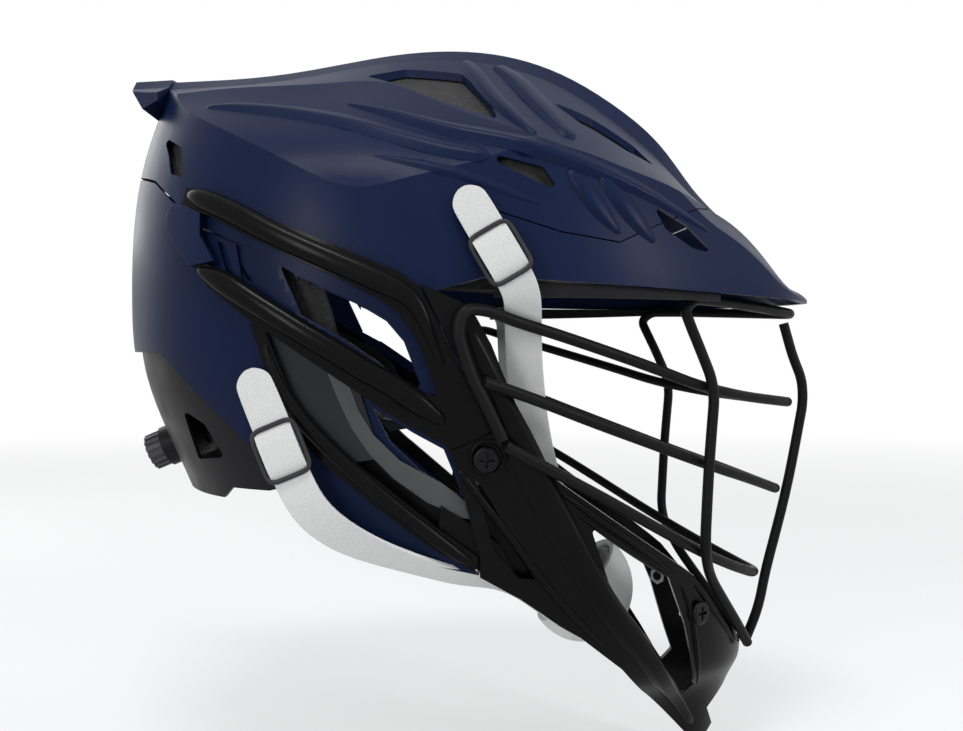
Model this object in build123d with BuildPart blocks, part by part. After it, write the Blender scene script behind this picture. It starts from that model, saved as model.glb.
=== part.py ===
from build123d import *
import math
import os

os.makedirs("parts", exist_ok=True)

# Driving sizes in millimetres. The origin is the middle point between the wearer's ears,
# x runs forward, y to the wearer's left and z up. Every share of x, y or z in a table
# below is a share of one of the first three sizes.
helmet_reach = 200.0        # ear line forward to a little short of the visor tip
helmet_drop = 200.0         # ear line down to the underside of the chin guard
helmet_half_width = 100.0   # middle plane out to the side of the chin guard

shell_wall = 3.2            # crown, rear and visor mouldings
overrun = 30.0              # how far cutting bodies reach past what they cut
seat_gap = 0.15             # between mouldings that lie on each other
soft_gap = 0.4              # between a soft piece and what it rests on

frame_thickness = 3.4       # side frame mouldings, outside the shell
guard_wall = 4.4            # chin guard moulding
wire_diameter = 4.8         # coated steel wire of the face mask
wire_gap = 0.12             # between crossing wires, filled by the coating
comfort_gap = 1.0           # between the shell and the liner's back

# Plan outline of the helmet: shares of the way from the back to the front, and the half
# width there as a share of the widest half width.
plan_shares = [
    (0.0, 0.0), (0.03, 0.36), (0.10, 0.67), (0.20, 0.88), (0.35, 1.0), (0.50, 0.97),
    (0.62, 0.90), (0.75, 0.745), (0.86, 0.53), (0.94, 0.33), (0.985, 0.14), (1.0, 0.0),
]
# Levels of the plan outline: height, back, front and widest half width.
level_shares = [
    (0.78, -0.440, 0.740, 0.82),
    (0.58, -0.490, 0.860, 0.90),
    (0.40, -0.548, 0.960, 1.00),
    (0.22, -0.572, 1.040, 1.065),
    (0.07, -0.575, 1.085, 1.08),
    (-0.08, -0.562, 1.060, 1.06),
    (-0.25, -0.500, 0.970, 1.01),
    (-0.55, -0.400, 0.880, 0.93),
    (-0.78, -0.300, 0.893, 0.74),
    (-1.02, -0.220, 0.825, 0.50),
]
# Roof of the shell at places along x: the top in the middle, the edge of the centre
# ridge, the foot of that ridge, the spine ridge, and the half width far below.
roof_shares = [
    (-0.62, 0.602, 0.24, 0.594, 0.31, 0.567, 0.50, 0.530, 1.10),
    (-0.48, 0.605, 0.24, 0.597, 0.31, 0.570, 0.51, 0.532, 1.10),
    (-0.34, 0.613, 0.24, 0.604, 0.32, 0.577, 0.53, 0.540, 1.10),
    (-0.20, 0.627, 0.24, 0.617, 0.32, 0.590, 0.54, 0.548, 1.10),
    (-0.07, 0.650, 0.24, 0.639, 0.32, 0.611, 0.53, 0.556, 1.10),
    (0.06, 0.674, 0.24, 0.662, 0.32, 0.632, 0.54, 0.556, 1.10),
    (0.19, 0.686, 0.23, 0.674, 0.31, 0.640, 0.70, 0.488, 1.10),
    (0.32, 0.678, 0.22, 0.666, 0.30, 0.628, 0.83, 0.428, 1.09),
    (0.46, 0.638, 0.21, 0.625, 0.28, 0.582, 0.87, 0.374, 1.05),
    (0.60, 0.560, 0.19, 0.546, 0.26, 0.494, 0.79, 0.328, 0.96),
    (0.71, 0.466, 0.17, 0.452, 0.23, 0.402, 0.65, 0.302, 0.86),
    (0.785, 0.368, 0.14, 0.358, 0.19, 0.326, 0.48, 0.280, 0.76),
    (0.86, 0.292, 0.10, 0.286, 0.15, 0.272, 0.34, 0.252, 0.62),
    (0.95, 0.205, 0.07, 0.201, 0.11, 0.193, 0.24, 0.178, 0.44),
    (1.03, 0.124, 0.04, 0.121, 0.07, 0.116, 0.14, 0.106, 0.28),
    (1.11, 0.045, 0.02, 0.043, 0.04, 0.040, 0.08, 0.033, 0.16),
]
waist_height_share = 0.06   # where the side of a roof section reaches its half width
roof_foot_share = -0.36     # where the roof sections end
belly_out_share = 0.80      # how far out and down the side bulges between ridge and waist
belly_down_share = 0.42


def side_spots(shares):
    """Points of a side outline, x forward and z up."""
    return [(helmet_reach * x, helmet_drop * z) for x, z in shares]


def plan_spots(shares):
    """Points of an outline seen from above, x forward and y to the side."""
    return [(helmet_reach * x, helmet_half_width * y) for x, y in shares]


def space_spots(shares, side=1):
    """Points in space from shares of reach, half width and drop."""
    return [
        Vector(helmet_reach * x, side * helmet_half_width * y, helmet_drop * z)
        for x, y, z in shares
    ]


def oval_body(inset):
    """Closed body of the plan outlines, drawn in by the inset."""
    with BuildPart() as body:
        for height, back, front, width in level_shares:
            with BuildSketch(Plane.XY.offset(helmet_drop * height)):
                with BuildLine():
                    rear = helmet_reach * back + inset
                    length = helmet_reach * front - inset - rear
                    half = helmet_half_width * width - inset
                    near = [(rear + length * s, half * w) for s, w in plan_shares]
                    far = [(x, -y) for x, y in reversed(near[1:-1])]
                    Spline(near + far, periodic=True)
                make_face()
        loft()
    return body.part


def roof_body(inset):
    """Closed body of the roof sections, drawn in by the inset."""
    with BuildPart() as body:
        for row in roof_shares:
            x, top, edge_y, edge_z, foot_y, foot_z, ridge_y, ridge_z, waist = row
            with BuildSketch(Plane.YZ.offset(helmet_reach * x)):
                with BuildLine():
                    half = helmet_half_width
                    rise = helmet_drop
                    crown = (0, rise * top - inset)
                    edge = (half * edge_y, rise * edge_z - inset)
                    foot = (half * foot_y, rise * foot_z - inset)
                    ridge = (half * ridge_y - inset / 2, rise * ridge_z - inset)
                    side = (half * waist - inset, rise * waist_height_share)
                    base = (half * waist - inset, rise * roof_foot_share)
                    belly = (
                        ridge[0] + (side[0] - ridge[0]) * belly_out_share,
                        ridge[1] + (side[1] - ridge[1]) * belly_down_share,
                    )
                    flip = lambda p: (-p[0], p[1])
                    Line(base, side)
                    Spline(side, belly, ridge, tangents=[(0, 1), (-1, 0.9)])
                    Line(ridge, foot)
                    Line(foot, edge)
                    ThreePointArc(edge, crown, flip(edge))
                    Line(flip(edge), flip(foot))
                    Line(flip(foot), flip(ridge))
                    Spline(flip(ridge), flip(belly), flip(side), tangents=[(-1, -0.9), (0, -1)])
                    Line(flip(side), flip(base))
                    Line(flip(base), base)
                make_face()
        loft()
    return body.part


def skull_body(inset):
    """Roof and plan outlines together: the outside of the shell, drawn in by the inset."""
    with BuildPart() as body:
        add(roof_body(inset))
        add(oval_body(inset), mode=Mode.INTERSECT)
    return body.part


def side_prism(shares, rounding=0.0, side=0):
    """Side outline drawn out across the helmet: side 0 is both, 1 the left, -1 the right."""
    with BuildPart() as prism:
        with BuildSketch(Plane.XZ):
            with BuildLine():
                Polyline(side_spots(shares), close=True)
            make_face()
            if rounding:
                fillet(vertices(), rounding)
        deep = helmet_half_width + overrun
        if side == 0:
            extrude(amount=deep, both=True)
        else:
            extrude(amount=-side * deep)
    return prism.part


def plan_prism(shares, low, high, rounding=0.0):
    """Outline seen from above, drawn up from low to high, the same on both sides."""
    with BuildPart() as prism:
        with BuildSketch(Plane.XY.offset(low)):
            with BuildLine():
                Polyline(plan_spots(shares), close=True)
            make_face()
            if rounding:
                fillet(vertices(), rounding)
            mirror(about=Plane.XZ)
        extrude(amount=high - low)
    return prism.part


shell_outside = skull_body(0)
shell_inside = skull_body(shell_wall)
skin_outside = oval_body(0)
skin_inside = oval_body(shell_wall)

# Where the mouldings meet, seen from the side.
crown_outline_shares = [
    (-0.70, 0.38), (-0.56, 0.38), (-0.44, 0.33), (-0.36, 0.26), (-0.30, 0.21), (-0.175, 0.155),
    (-0.085, 0.10), (-0.005, 0.065), (0.075, 0.03), (0.115, 0.005), (0.14, -0.035),
    (0.165, -0.095), (0.20, -0.17), (0.25, -0.27), (0.285, -0.305), (0.325, -0.28),
    (0.315, -0.225), (0.235, -0.12), (0.215, -0.05), (0.17, 0.068), (0.28, 0.10),
    (0.28, 0.243), (0.435, 0.197), (0.56, 0.18), (0.64, 0.22), (0.75, 0.27), (0.85, 0.297),
    (1.20, 0.31), (1.20, 0.80), (-0.70, 0.80),
]
visor_outline_shares = [
    (0.28, 0.10), (0.28, 0.24), (0.435, 0.194), (0.56, 0.177), (0.64, 0.217), (0.75, 0.267),
    (0.85, 0.294), (1.20, 0.307), (1.20, 0.078), (0.92, 0.080), (0.70, 0.085), (0.52, 0.092),
    (0.395, 0.097),
]
# Vents: the crown vents seen from above, the others seen from the side.
crown_vent_shares = [(0.01, 0.46), (0.10, 0.40), (0.23, 0.43), (0.29, 0.62), (0.31, 0.80), (0.19, 0.68), (0.09, 0.56)]
slot_vent_shares = [(0.43, 0.50), (0.53, 0.44), (0.62, 0.42), (0.665, 0.50), (0.60, 0.56), (0.50, 0.58)]
side_vent_shares = [(0.285, 0.355), (0.40, 0.33), (0.435, 0.28), (0.405, 0.29), (0.315, 0.33)]
front_vent_shares = [(0.635, 0.268), (0.715, 0.228), (0.785, 0.168), (0.73, 0.176), (0.665, 0.214)]
rear_vent_shares = [(-0.425, 0.43), (-0.365, 0.39), (-0.35, 0.32), (-0.39, 0.335), (-0.40, 0.375)]
vent_rounding = 1.5
flare_shares = [(-0.575, 0.592), (-0.545, 0.612), (-0.46, 0.612), (-0.45, 0.52), (-0.485, 0.50), (-0.505, 0.535), (-0.535, 0.565)]
flare_half_width = 52.0
flare_proud = 16.0          # how far the flare's plan outline stands outside the shell's
flare_lift = 1.2            # its top above the roof sections
roof_vent_low_share = 0.20  # how deep the cuts of the roof vents reach



def skin_between(outer, inner):
    """Wall between two bodies."""
    with BuildPart() as wall:
        add(outer)
        add(inner, mode=Mode.SUBTRACT)
    return wall.part


def finish_part(part, name):
    """Label a finished piece and write its file."""
    part.label = name
    export_step(part, f"parts/{name}.step")


shell_skin = skin_between(shell_outside, shell_inside)
low_skin = skin_between(skin_outside, skin_inside)

# Crown shell: the main moulding with its vents and the flare at the top of the back.
with BuildPart() as crown_shell:
    with BuildSketch(Plane.XZ):
        with BuildLine():
            Polyline(side_spots(flare_shares), close=True)
        make_face()
    extrude(amount=flare_half_width, both=True)
    add(oval_body(-flare_proud), mode=Mode.INTERSECT)
    add(roof_body(-flare_lift), mode=Mode.INTERSECT)
    add(shell_inside, mode=Mode.SUBTRACT)
    add(shell_skin)
    add(side_prism(crown_outline_shares), mode=Mode.INTERSECT)
    roof_low = helmet_drop * roof_vent_low_share
    add(plan_prism(crown_vent_shares, roof_low, helmet_drop, vent_rounding), mode=Mode.SUBTRACT)
    add(plan_prism(slot_vent_shares, roof_low, helmet_drop, vent_rounding), mode=Mode.SUBTRACT)
    for vent in (side_vent_shares, front_vent_shares, rear_vent_shares):
        add(side_prism(vent, vent_rounding), mode=Mode.SUBTRACT)
finish_part(crown_shell.part, "crown_shell")

# Visor: the front moulding under the crown, with the brow edge.
with BuildPart() as visor:
    add(shell_skin)
    add(side_prism(visor_outline_shares), mode=Mode.INTERSECT)
    add(side_prism(front_vent_shares, vent_rounding), mode=Mode.SUBTRACT)
finish_part(visor.part, "visor")

# Trim strip inside the visor's lower edge.
trim_width = 2.2
trim_outline_shares = [(0.30, 0.062), (0.80, 0.066), (0.80, 0.082), (0.30, 0.096)]
with BuildPart() as visor_trim:
    add(oval_body(shell_wall + seat_gap))
    add(oval_body(shell_wall + seat_gap + trim_width), mode=Mode.SUBTRACT)
    add(side_prism(trim_outline_shares), mode=Mode.INTERSECT)
finish_part(visor_trim.part, "visor_trim")

# Rear shell: the lower back, its struts and the bands that run forward under the ears.
rear_outline_shares = [
    (-0.70, 0.374), (-0.56, 0.374), (-0.44, 0.324), (-0.36, 0.254), (-0.30, 0.204),
    (-0.22, 0.170), (-0.205, 0.09), (-0.17, 0.0), (-0.13, -0.10), (-0.09, -0.185),
    (-0.01, -0.285), (0.11, -0.385), (0.19, -0.45), (0.27, -0.505), (0.19, -0.485),
    (0.045, -0.41), (-0.04, -0.36), (-0.205, -0.235), (-0.245, -0.20), (-0.33, -0.125),
    (-0.39, -0.07), (-0.425, -0.045), (-0.70, -0.04),
]
rear_window_shares = [(-0.35, 0.218), (-0.285, 0.185), (-0.262, 0.13), (-0.33, 0.135)]
strut_slot_shares = [(-0.262, 0.178), (-0.245, 0.170), (-0.222, 0.105), (-0.238, 0.105)]
with BuildPart() as rear_shell:
    add(low_skin)
    add(side_prism(rear_outline_shares), mode=Mode.INTERSECT)
    add(side_prism(rear_window_shares, vent_rounding), mode=Mode.SUBTRACT)
    add(side_prism(strut_slot_shares), mode=Mode.SUBTRACT)
finish_part(rear_shell.part, "rear_shell")

# Side frames: black mouldings over the shell with two rails and a lower arm.
frame_outline_shares = [
    (-0.335, 0.295), (-0.28, 0.272), (-0.20, 0.237), (-0.04, 0.172), (0.115, 0.107),
    (0.155, 0.078), (0.225, -0.06), (0.30, -0.205), (0.205, -0.235), (0.115, -0.185),
    (0.035, -0.13), (-0.085, -0.05), (-0.20, 0.025), (-0.28, 0.085), (-0.325, 0.14),
    (-0.355, 0.22),
]
frame_window_shares = [
    (-0.315, 0.238), (-0.28, 0.230), (-0.20, 0.187), (-0.12, 0.150), (-0.005, 0.095),
    (0.075, 0.055), (0.115, 0.025), (0.155, -0.035), (0.19, -0.14), (0.155, -0.130),
    (0.075, -0.08), (-0.005, -0.035), (-0.085, 0.01), (-0.16, 0.06), (-0.28, 0.130),
    (-0.318, 0.190),
]
lower_arm_shares = [
    (-0.155, 0.00), (-0.095, -0.145), (-0.03, -0.225), (0.07, -0.305), (0.19, -0.405),
    (0.268, -0.463), (0.262, -0.495), (0.17, -0.440), (0.05, -0.345), (-0.05, -0.262),
    (-0.125, -0.165), (-0.185, 0.01),
]
frame_rounding = 1.2
frame_skin = skin_between(oval_body(-seat_gap - frame_thickness), oval_body(-seat_gap))
for side, name in ((1, "side_frame_left"), (-1, "side_frame_right")):
    with BuildPart() as side_frame:
        add(side_prism(frame_outline_shares, 0, side))
        add(side_prism(frame_window_shares, frame_rounding), mode=Mode.SUBTRACT)
        add(side_prism(lower_arm_shares, 0, side))
        add(frame_skin, mode=Mode.INTERSECT)
    finish_part(side_frame.part, name)

# Chin guard: the black jaw moulding with its main struts, beams and nose.
guard_outline_shares = [
    (0.158, 0.082), (0.235, 0.050), (0.265, 0.020), (0.295, -0.035), (0.315, -0.085),
    (0.345, -0.155), (0.375, -0.225), (0.405, -0.290), (0.440, -0.318), (0.735, -0.535),
    (0.760, -0.555), (0.935, -0.775), (0.915, -0.800), (0.885, -0.850), (0.822, -0.905),
    (0.842, -0.955), (0.815, -0.978), (0.79, -0.985), (0.76, -0.950), (0.70, -0.880), (0.635, -0.805), (0.58, -0.735),
    (0.53, -0.690), (0.485, -0.650), (0.44, -0.620), (0.395, -0.585), (0.355, -0.555),
    (0.272, -0.505), (0.272, -0.463), (0.215, -0.245), (0.303, -0.208), (0.228, -0.060),
]
guard_window_shares = [
    (0.500, -0.405), (0.690, -0.545), (0.735, -0.660), (0.775, -0.820), (0.745, -0.850),
    (0.640, -0.700), (0.550, -0.550),
]
rib_window_shares = [(0.262, -0.300), (0.292, -0.345), (0.385, -0.515), (0.350, -0.510), (0.300, -0.450)]
guard_skin = skin_between(oval_body(-seat_gap - guard_wall), oval_body(-seat_gap))
with BuildPart() as chin_guard:
    add(guard_skin)
    add(side_prism(guard_outline_shares), mode=Mode.INTERSECT)
    add(side_prism(guard_window_shares, vent_rounding), mode=Mode.SUBTRACT)
    add(side_prism(rib_window_shares), mode=Mode.SUBTRACT)
finish_part(chin_guard.part, "chin_guard")


# Face mask: wires bent in straight runs and arcs, then welded where they cross.
def wire_radii(points):
    """Largest bend at each corner that both of its runs allow."""
    radii = []
    for a, b, c in zip(points, points[1:], points[2:]):
        turn = math.radians((b - a).get_angle(c - b))
        run = min((b - a).length, (c - b).length)
        radii.append(bend_share * run / math.tan(turn / 2))
    return radii


def wire_path(points):
    """One bent centre line through the points."""
    with BuildLine() as line:
        FilletPolyline(*points, radius=wire_radii(points))
    return line.wire()


def both_sides(points):
    """The points of one half, then their mirror image from the middle back."""
    far = [Vector(p.X, -p.Y, p.Z) for p in reversed(points[:-1])]
    return points + far


def bent_wire(points, diameter):
    """Round wire along the bent centre line."""
    path = wire_path(points)
    with BuildPart() as wire:
        with BuildSketch(Plane(path.position_at(0), z_dir=path.tangent_at(0))):
            Circle(diameter / 2)
        sweep(path=path)
    return wire.part


def spot_at_reach(path, reach):
    """Where the near half of a bar passes a place along x, and its heading there."""
    low, high = 0.0, 0.5
    for step in range(search_steps):
        middle = (low + high) / 2
        if path.position_at(middle).X < reach:
            low = middle
        else:
            high = middle
    return path.position_at(low), path.tangent_at(low)


def weld_spot(path, reach_share, tilt_share):
    """Centre of an upright that lies on the outside of a bar."""
    spot, heading = spot_at_reach(path, helmet_reach * reach_share)
    outward = Vector(-heading.Y, heading.X, 0).normalized()
    if outward.X < 0:
        outward = outward * -1
    return spot + outward * (wire_diameter + wire_gap) * tilt_share


bend_share = 0.45           # of the shorter run, taken up by an arc on each side of a corner
search_steps = 30
weld_tilt_share = 1.08      # the wires cross a little off square
low_weld_tilt_share = 1.36  # and more so at the lower bar
upper_bar_shares = [
    (0.316, -1.092, -0.222), (0.288, -1.110, -0.160), (0.252, -1.130, -0.090),
    (0.228, -1.148, -0.010), (0.240, -1.141, 0.034), (0.285, -1.076, 0.034),
    (0.340, -1.000, 0.014), (0.430, -0.925, -0.012), (0.535, -0.830, -0.045),
    (0.650, -0.690, -0.082), (0.760, -0.530, -0.120), (0.880, -0.345, -0.146),
    (0.990, -0.160, -0.160), (1.052, 0.0, -0.167),
]
lower_bar_shares = [
    (0.320, -1.085, -0.232), (0.362, -1.030, -0.257), (0.430, -0.945, -0.295),
    (0.520, -0.835, -0.346), (0.615, -0.715, -0.403), (0.705, -0.580, -0.458),
    (0.790, -0.430, -0.507), (0.870, -0.270, -0.549), (0.935, -0.110, -0.580),
    (0.958, 0.0, -0.588),
]
middle_bar_shares = [
    (0.279, -1.114, -0.107), (0.330, -1.066, -0.124), (0.400, -0.974, -0.150),
    (0.500, -0.868, -0.190), (0.610, -0.735, -0.232), (0.710, -0.595, -0.270),
    (0.810, -0.435, -0.308), (0.915, -0.245, -0.345), (0.990, -0.090, -0.374),
    (1.012, 0.0, -0.382),
]
upper_points = both_sides(space_spots(upper_bar_shares))
lower_points = both_sides(space_spots(lower_bar_shares))
middle_points = both_sides(space_spots(middle_bar_shares))
upper_path = wire_path(upper_points)
lower_path = wire_path(lower_points)
middle_path = wire_path(middle_points)
brow_shares = [
    (0.757, -0.560, -0.030), (0.738, -0.575, 0.012), (0.722, -0.595, 0.050),
    (0.748, -0.572, 0.072), (0.815, -0.470, 0.070), (0.905, -0.310, 0.064),
    (1.000, -0.130, 0.057), (1.058, 0.0, 0.052),
]
foot_shares = [
    (0.925, -0.110, -0.752), (0.893, -0.190, -0.700), (0.846, -0.300, -0.630),
    (0.800, -0.400, -0.560),
]
upright_half = (
    space_spots(foot_shares)
    + [weld_spot(lower_path, 0.750, low_weld_tilt_share)]
    + [weld_spot(middle_path, 0.765, weld_tilt_share), weld_spot(upper_path, 0.780, weld_tilt_share)]
    + space_spots(brow_shares)
)
centre_bar_shares = [(1.030, 0.0, 0.030), (1.052, 0.0, -0.050), (1.076, 0.0, -0.110)]
centre_low_shares = [(0.967, 0.0, -0.680), (0.932, 0.0, -0.766)]
crossing = (wire_diameter + wire_gap) * weld_tilt_share
centre_points = (
    space_spots(centre_bar_shares)
    + [points[len(points) // 2] + Vector(crossing, 0, 0)
       for points in (upper_points, middle_points, lower_points)]
    + space_spots(centre_low_shares)
)
mask_wires = {
    "mask_upper_bar": upper_points,
    "mask_middle_bar": middle_points,
    "mask_lower_bar": lower_points,
    "mask_upright_loop": both_sides(upright_half),
    "mask_center_bar": centre_points,
}
for name, points in mask_wires.items():
    finish_part(bent_wire(points, wire_diameter), name)


# Screws that hold mask, guard and shell together at the sides and at the chin.
screw_diameter = 5.0
screw_head_diameter = 11.0
screw_head_height = 2.6
nut_diameter = 9.0
nut_height = 3.0
bore_room = 0.25            # bore wall to shank
recess_width = 1.2          # cross recess
recess_length = 6.0
recess_depth = 1.2
side_screw_share = (0.283, -0.262)
chin_screw_share = (0.770, -0.640)


def screw_plane(place_share, body):
    """Plane on a body's right side at a place of the side view, facing outwards."""
    x = helmet_reach * place_share[0]
    z = helmet_drop * place_share[1]
    hits = body.find_intersection_points(Axis((x, 0, z), (0, -1, 0)))
    point, normal = min(hits, key=lambda hit: hit[0].Y)
    outward = normal if normal.Y < 0 else normal * -1
    return Plane(point, x_dir=(0, 0, 1), z_dir=outward)


guard_face = oval_body(-seat_gap - guard_wall)
side_screw_plane = screw_plane(side_screw_share, guard_face)
chin_screw_plane = screw_plane(chin_screw_share, guard_face)
side_stack = guard_wall + seat_gap + shell_wall
screw_sets = {
    "side": (side_screw_plane, side_stack + seat_gap),
    "chin": (chin_screw_plane, guard_wall),
}


def screw_bores(plane, depth):
    """Clearance bore for a screw and for its twin on the other side."""
    with BuildPart() as bore:
        with BuildSketch(plane.offset(-depth - nut_height)):
            Circle(screw_diameter / 2 + bore_room)
        extrude(amount=depth + nut_height + overrun)
        mirror(about=Plane.XZ)
    return bore.part


side_bore = screw_bores(side_screw_plane, side_stack)
chin_bore = screw_bores(chin_screw_plane, guard_wall)
crown_shell_bored = skin_between(crown_shell.part, side_bore)
chin_guard_bored = skin_between(skin_between(chin_guard.part, side_bore), chin_bore)
finish_part(crown_shell_bored, "crown_shell")
finish_part(chin_guard_bored, "chin_guard")

for name, (plane, stack) in screw_sets.items():
    with BuildPart() as screws:
        with BuildSketch(plane.offset(seat_gap)):
            Circle(screw_head_diameter / 2)
        extrude(amount=screw_head_height)
        fillet(edges().group_by(Axis((0, 0, 0), plane.z_dir))[-1], screw_head_height / 2)
        with BuildSketch(plane.offset(seat_gap + screw_head_height - recess_depth)):
            Rectangle(recess_width, recess_length)
            Rectangle(recess_length, recess_width)
        extrude(amount=recess_depth, mode=Mode.SUBTRACT)
        with BuildSketch(plane.offset(seat_gap)):
            Circle(screw_diameter / 2)
        extrude(amount=-stack - seat_gap - nut_height)
        mirror(about=Plane.XZ)
    finish_part(screws.part, name + "_screws")
    with BuildPart() as nuts:
        with BuildSketch(plane.offset(-stack - seat_gap)):
            RegularPolygon(nut_diameter / 2, 6)
            Circle(screw_diameter / 2, mode=Mode.SUBTRACT)
        extrude(amount=-nut_height)
        mirror(about=Plane.XZ)
    finish_part(nuts.part, name + "_nuts")

# Chin straps: flat webbing from the shell to the chin cup.
strap_width = 15.0
strap_thickness = 1.3
# Places of the webbing's middle line and how far its flat side has turned from facing
# sideways to facing down, as a share of a quarter turn.
front_strap_shares = [
    (0.255, 1.068, 0.243, 0.0), (0.3125, 1.080, 0.145, 0.0), (0.352, 1.088, 0.078, 0.0),
    (0.358, 1.020, 0.046, 0.0), (0.360, 0.912, 0.004, 0.0), (0.362, 0.885, -0.060, 0.0),
    (0.368, 0.865, -0.130, 0.0), (0.382, 0.820, -0.240, 0.0), (0.425, 0.690, -0.380, 0.1),
    (0.475, 0.540, -0.480, 0.2), (0.505, 0.440, -0.545, 0.15), (0.525, 0.405, -0.600, 0.05),
    (0.540, 0.402, -0.635, 0.0),
]
rear_strap_shares = [
    (-0.170, 1.062, -0.117, 0.0), (-0.117, 1.080, -0.243, 0.0), (-0.084, 1.091, -0.322, 0.0),
    (-0.052, 1.076, -0.373, 0.10), (0.005, 1.034, -0.420, 0.30), (0.080, 0.980, -0.457, 0.52),
    (0.170, 0.905, -0.495, 0.62), (0.250, 0.830, -0.545, 0.62), (0.320, 0.700, -0.610, 0.60),
    (0.375, 0.575, -0.650, 0.52), (0.430, 0.455, -0.682, 0.46), (0.490, 0.375, -0.695, 0.43),
    (0.525, 0.348, -0.690, 0.43),
]


def strap_body(shares, side):
    """Webbing lofted through its cross sections, flat side out."""
    planes = [strap_plane(shares, side, index) for index in range(len(shares))]
    with BuildPart() as strap:
        with BuildSketch(planes[0].offset(-strap_thickness / 2)):
            Circle(strap_width / 2)
        extrude(amount=strap_thickness)
        for plane in planes:
            with BuildSketch(Plane(plane.origin, x_dir=plane.x_dir, z_dir=plane.y_dir)):
                Rectangle(strap_width, strap_thickness)
        loft(ruled=True)
    return strap.part


quarter_turn = math.pi / 2


def strap_plane(shares, side, index):
    """Plane at a strap's point: x across the webbing, y along it, z outwards."""
    points = space_spots([row[:3] for row in shares], side)
    turn = quarter_turn * shares[index][3]
    outward = Vector(0, side * math.cos(turn), -math.sin(turn))
    before = points[max(index - 1, 0)]
    after = points[min(index + 1, len(points) - 1)]
    heading = (after - before).normalized()
    across = heading.cross(outward).normalized()
    return Plane(points[index], x_dir=across, z_dir=across.cross(heading))


straps = {
    "front_strap": front_strap_shares,
    "rear_strap": rear_strap_shares,
}
for name, shares in straps.items():
    for side, hand in ((1, "left"), (-1, "right")):
        finish_part(strap_body(shares, side), f"{name}_{hand}")

# Buckles: a ring that lies over the webbing and a bar that runs under it.
buckle_width = 24.0
buckle_length = 25.0
buckle_bar = 3.4
buckle_thickness = 2.0
buckle_corner = 3.0
webbing_gap = 0.35
middle_bar_thickness = 1.4
buckle_low = strap_thickness / 2 + webbing_gap
for name, shares in straps.items():
    for side, hand in ((1, "left"), (-1, "right")):
        plane = strap_plane(shares, side, 1)
        with BuildPart() as buckle:
            with BuildSketch(plane.offset(buckle_low)):
                RectangleRounded(buckle_width, buckle_length, buckle_corner)
                Rectangle(strap_width + webbing_gap * 2, buckle_length - buckle_bar * 2, mode=Mode.SUBTRACT)
            extrude(amount=buckle_thickness)
            with BuildSketch(plane.offset(-buckle_low)):
                Rectangle(buckle_width, buckle_bar)
            extrude(amount=-middle_bar_thickness)
            cheek = (buckle_width - strap_width) / 2 - webbing_gap
            with BuildSketch(plane.offset(-buckle_low - middle_bar_thickness)):
                with Locations((buckle_width / 2 - cheek / 2, 0), (cheek / 2 - buckle_width / 2, 0)):
                    Rectangle(cheek, buckle_bar)
            extrude(amount=2 * buckle_low + middle_bar_thickness + buckle_thickness)
        finish_part(buckle.part, f"{name}_buckle_{hand}")

# Chin cup: a shallow moulded cup, its foam pad inside.
cup_centre_share = (0.520, 0.0, -0.620)
cup_length = 26.0
cup_half_width = 39.0
cup_height = 27.0
cup_wall = 2.4
cup_pad_thickness = 5.0
unit_radius = 1.0           # ball that the egg shapes are stretched from


def egg(centre, length, width, height):
    """Egg shape with the three half sizes."""
    ball = scale(Sphere(unit_radius), by=(length, width, height))
    return Pos(*centre) * ball


cup_centre = space_spots([cup_centre_share])[0]
cup_cut = Plane(cup_centre + Vector(-cup_wall, 0, cup_wall), z_dir=(-1, 0, 1))

def cup_layer(outer, inner):
    """Bowl between two insets of the cup's egg shape, open to the chin."""
    sizes = (cup_length, cup_half_width, cup_height)
    outside = egg(cup_centre, *[size - outer for size in sizes])
    inside = egg(cup_centre, *[size - inner for size in sizes])
    with BuildPart() as layer:
        add(outside)
        add(inside, mode=Mode.SUBTRACT)
        split(bisect_by=cup_cut, keep=Keep.BOTTOM)
    return layer.part


pad_start = cup_wall + soft_gap
finish_part(cup_layer(0, cup_wall), "chin_cup")
finish_part(cup_layer(pad_start, pad_start + cup_pad_thickness), "chin_cup_pad")

# Liner: a hard foam shell with a hollow for the head, and soft pads in the hollow.
head_centre_share = (0.0, 0.0, 0.025)
hollow_length = 104.0
hollow_half_width = 85.0
hollow_height = 112.0
pad_thickness = 9.0
foam_outline_shares = [
    (-0.45, 0.36), (-0.30, 0.25), (-0.10, 0.17), (0.30, 0.14), (0.60, 0.16), (0.60, 0.80),
    (-0.45, 0.80),
]
head_centre = space_spots([head_centre_share])[0]


def hollow(inset):
    """Egg shape of the head hollow, drawn in by the inset."""
    return egg(head_centre, hollow_length - inset, hollow_half_width - inset, hollow_height - inset)


head_hollow = hollow(0)
with BuildPart() as foam_liner:
    add(skull_body(shell_wall + comfort_gap))
    add(side_prism(foam_outline_shares), mode=Mode.INTERSECT)
    add(head_hollow, mode=Mode.SUBTRACT)
finish_part(foam_liner.part, "foam_liner")

pad_shell = skin_between(hollow(soft_gap), hollow(soft_gap + pad_thickness))


def pad_block(low, high):
    """Box between two corners given in shares of reach, half width and drop."""
    a, b = space_spots([low, high])
    return Pos(*((a + b) / 2)) * Box(abs(b.X - a.X), abs(b.Y - a.Y), abs(b.Z - a.Z))


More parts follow.
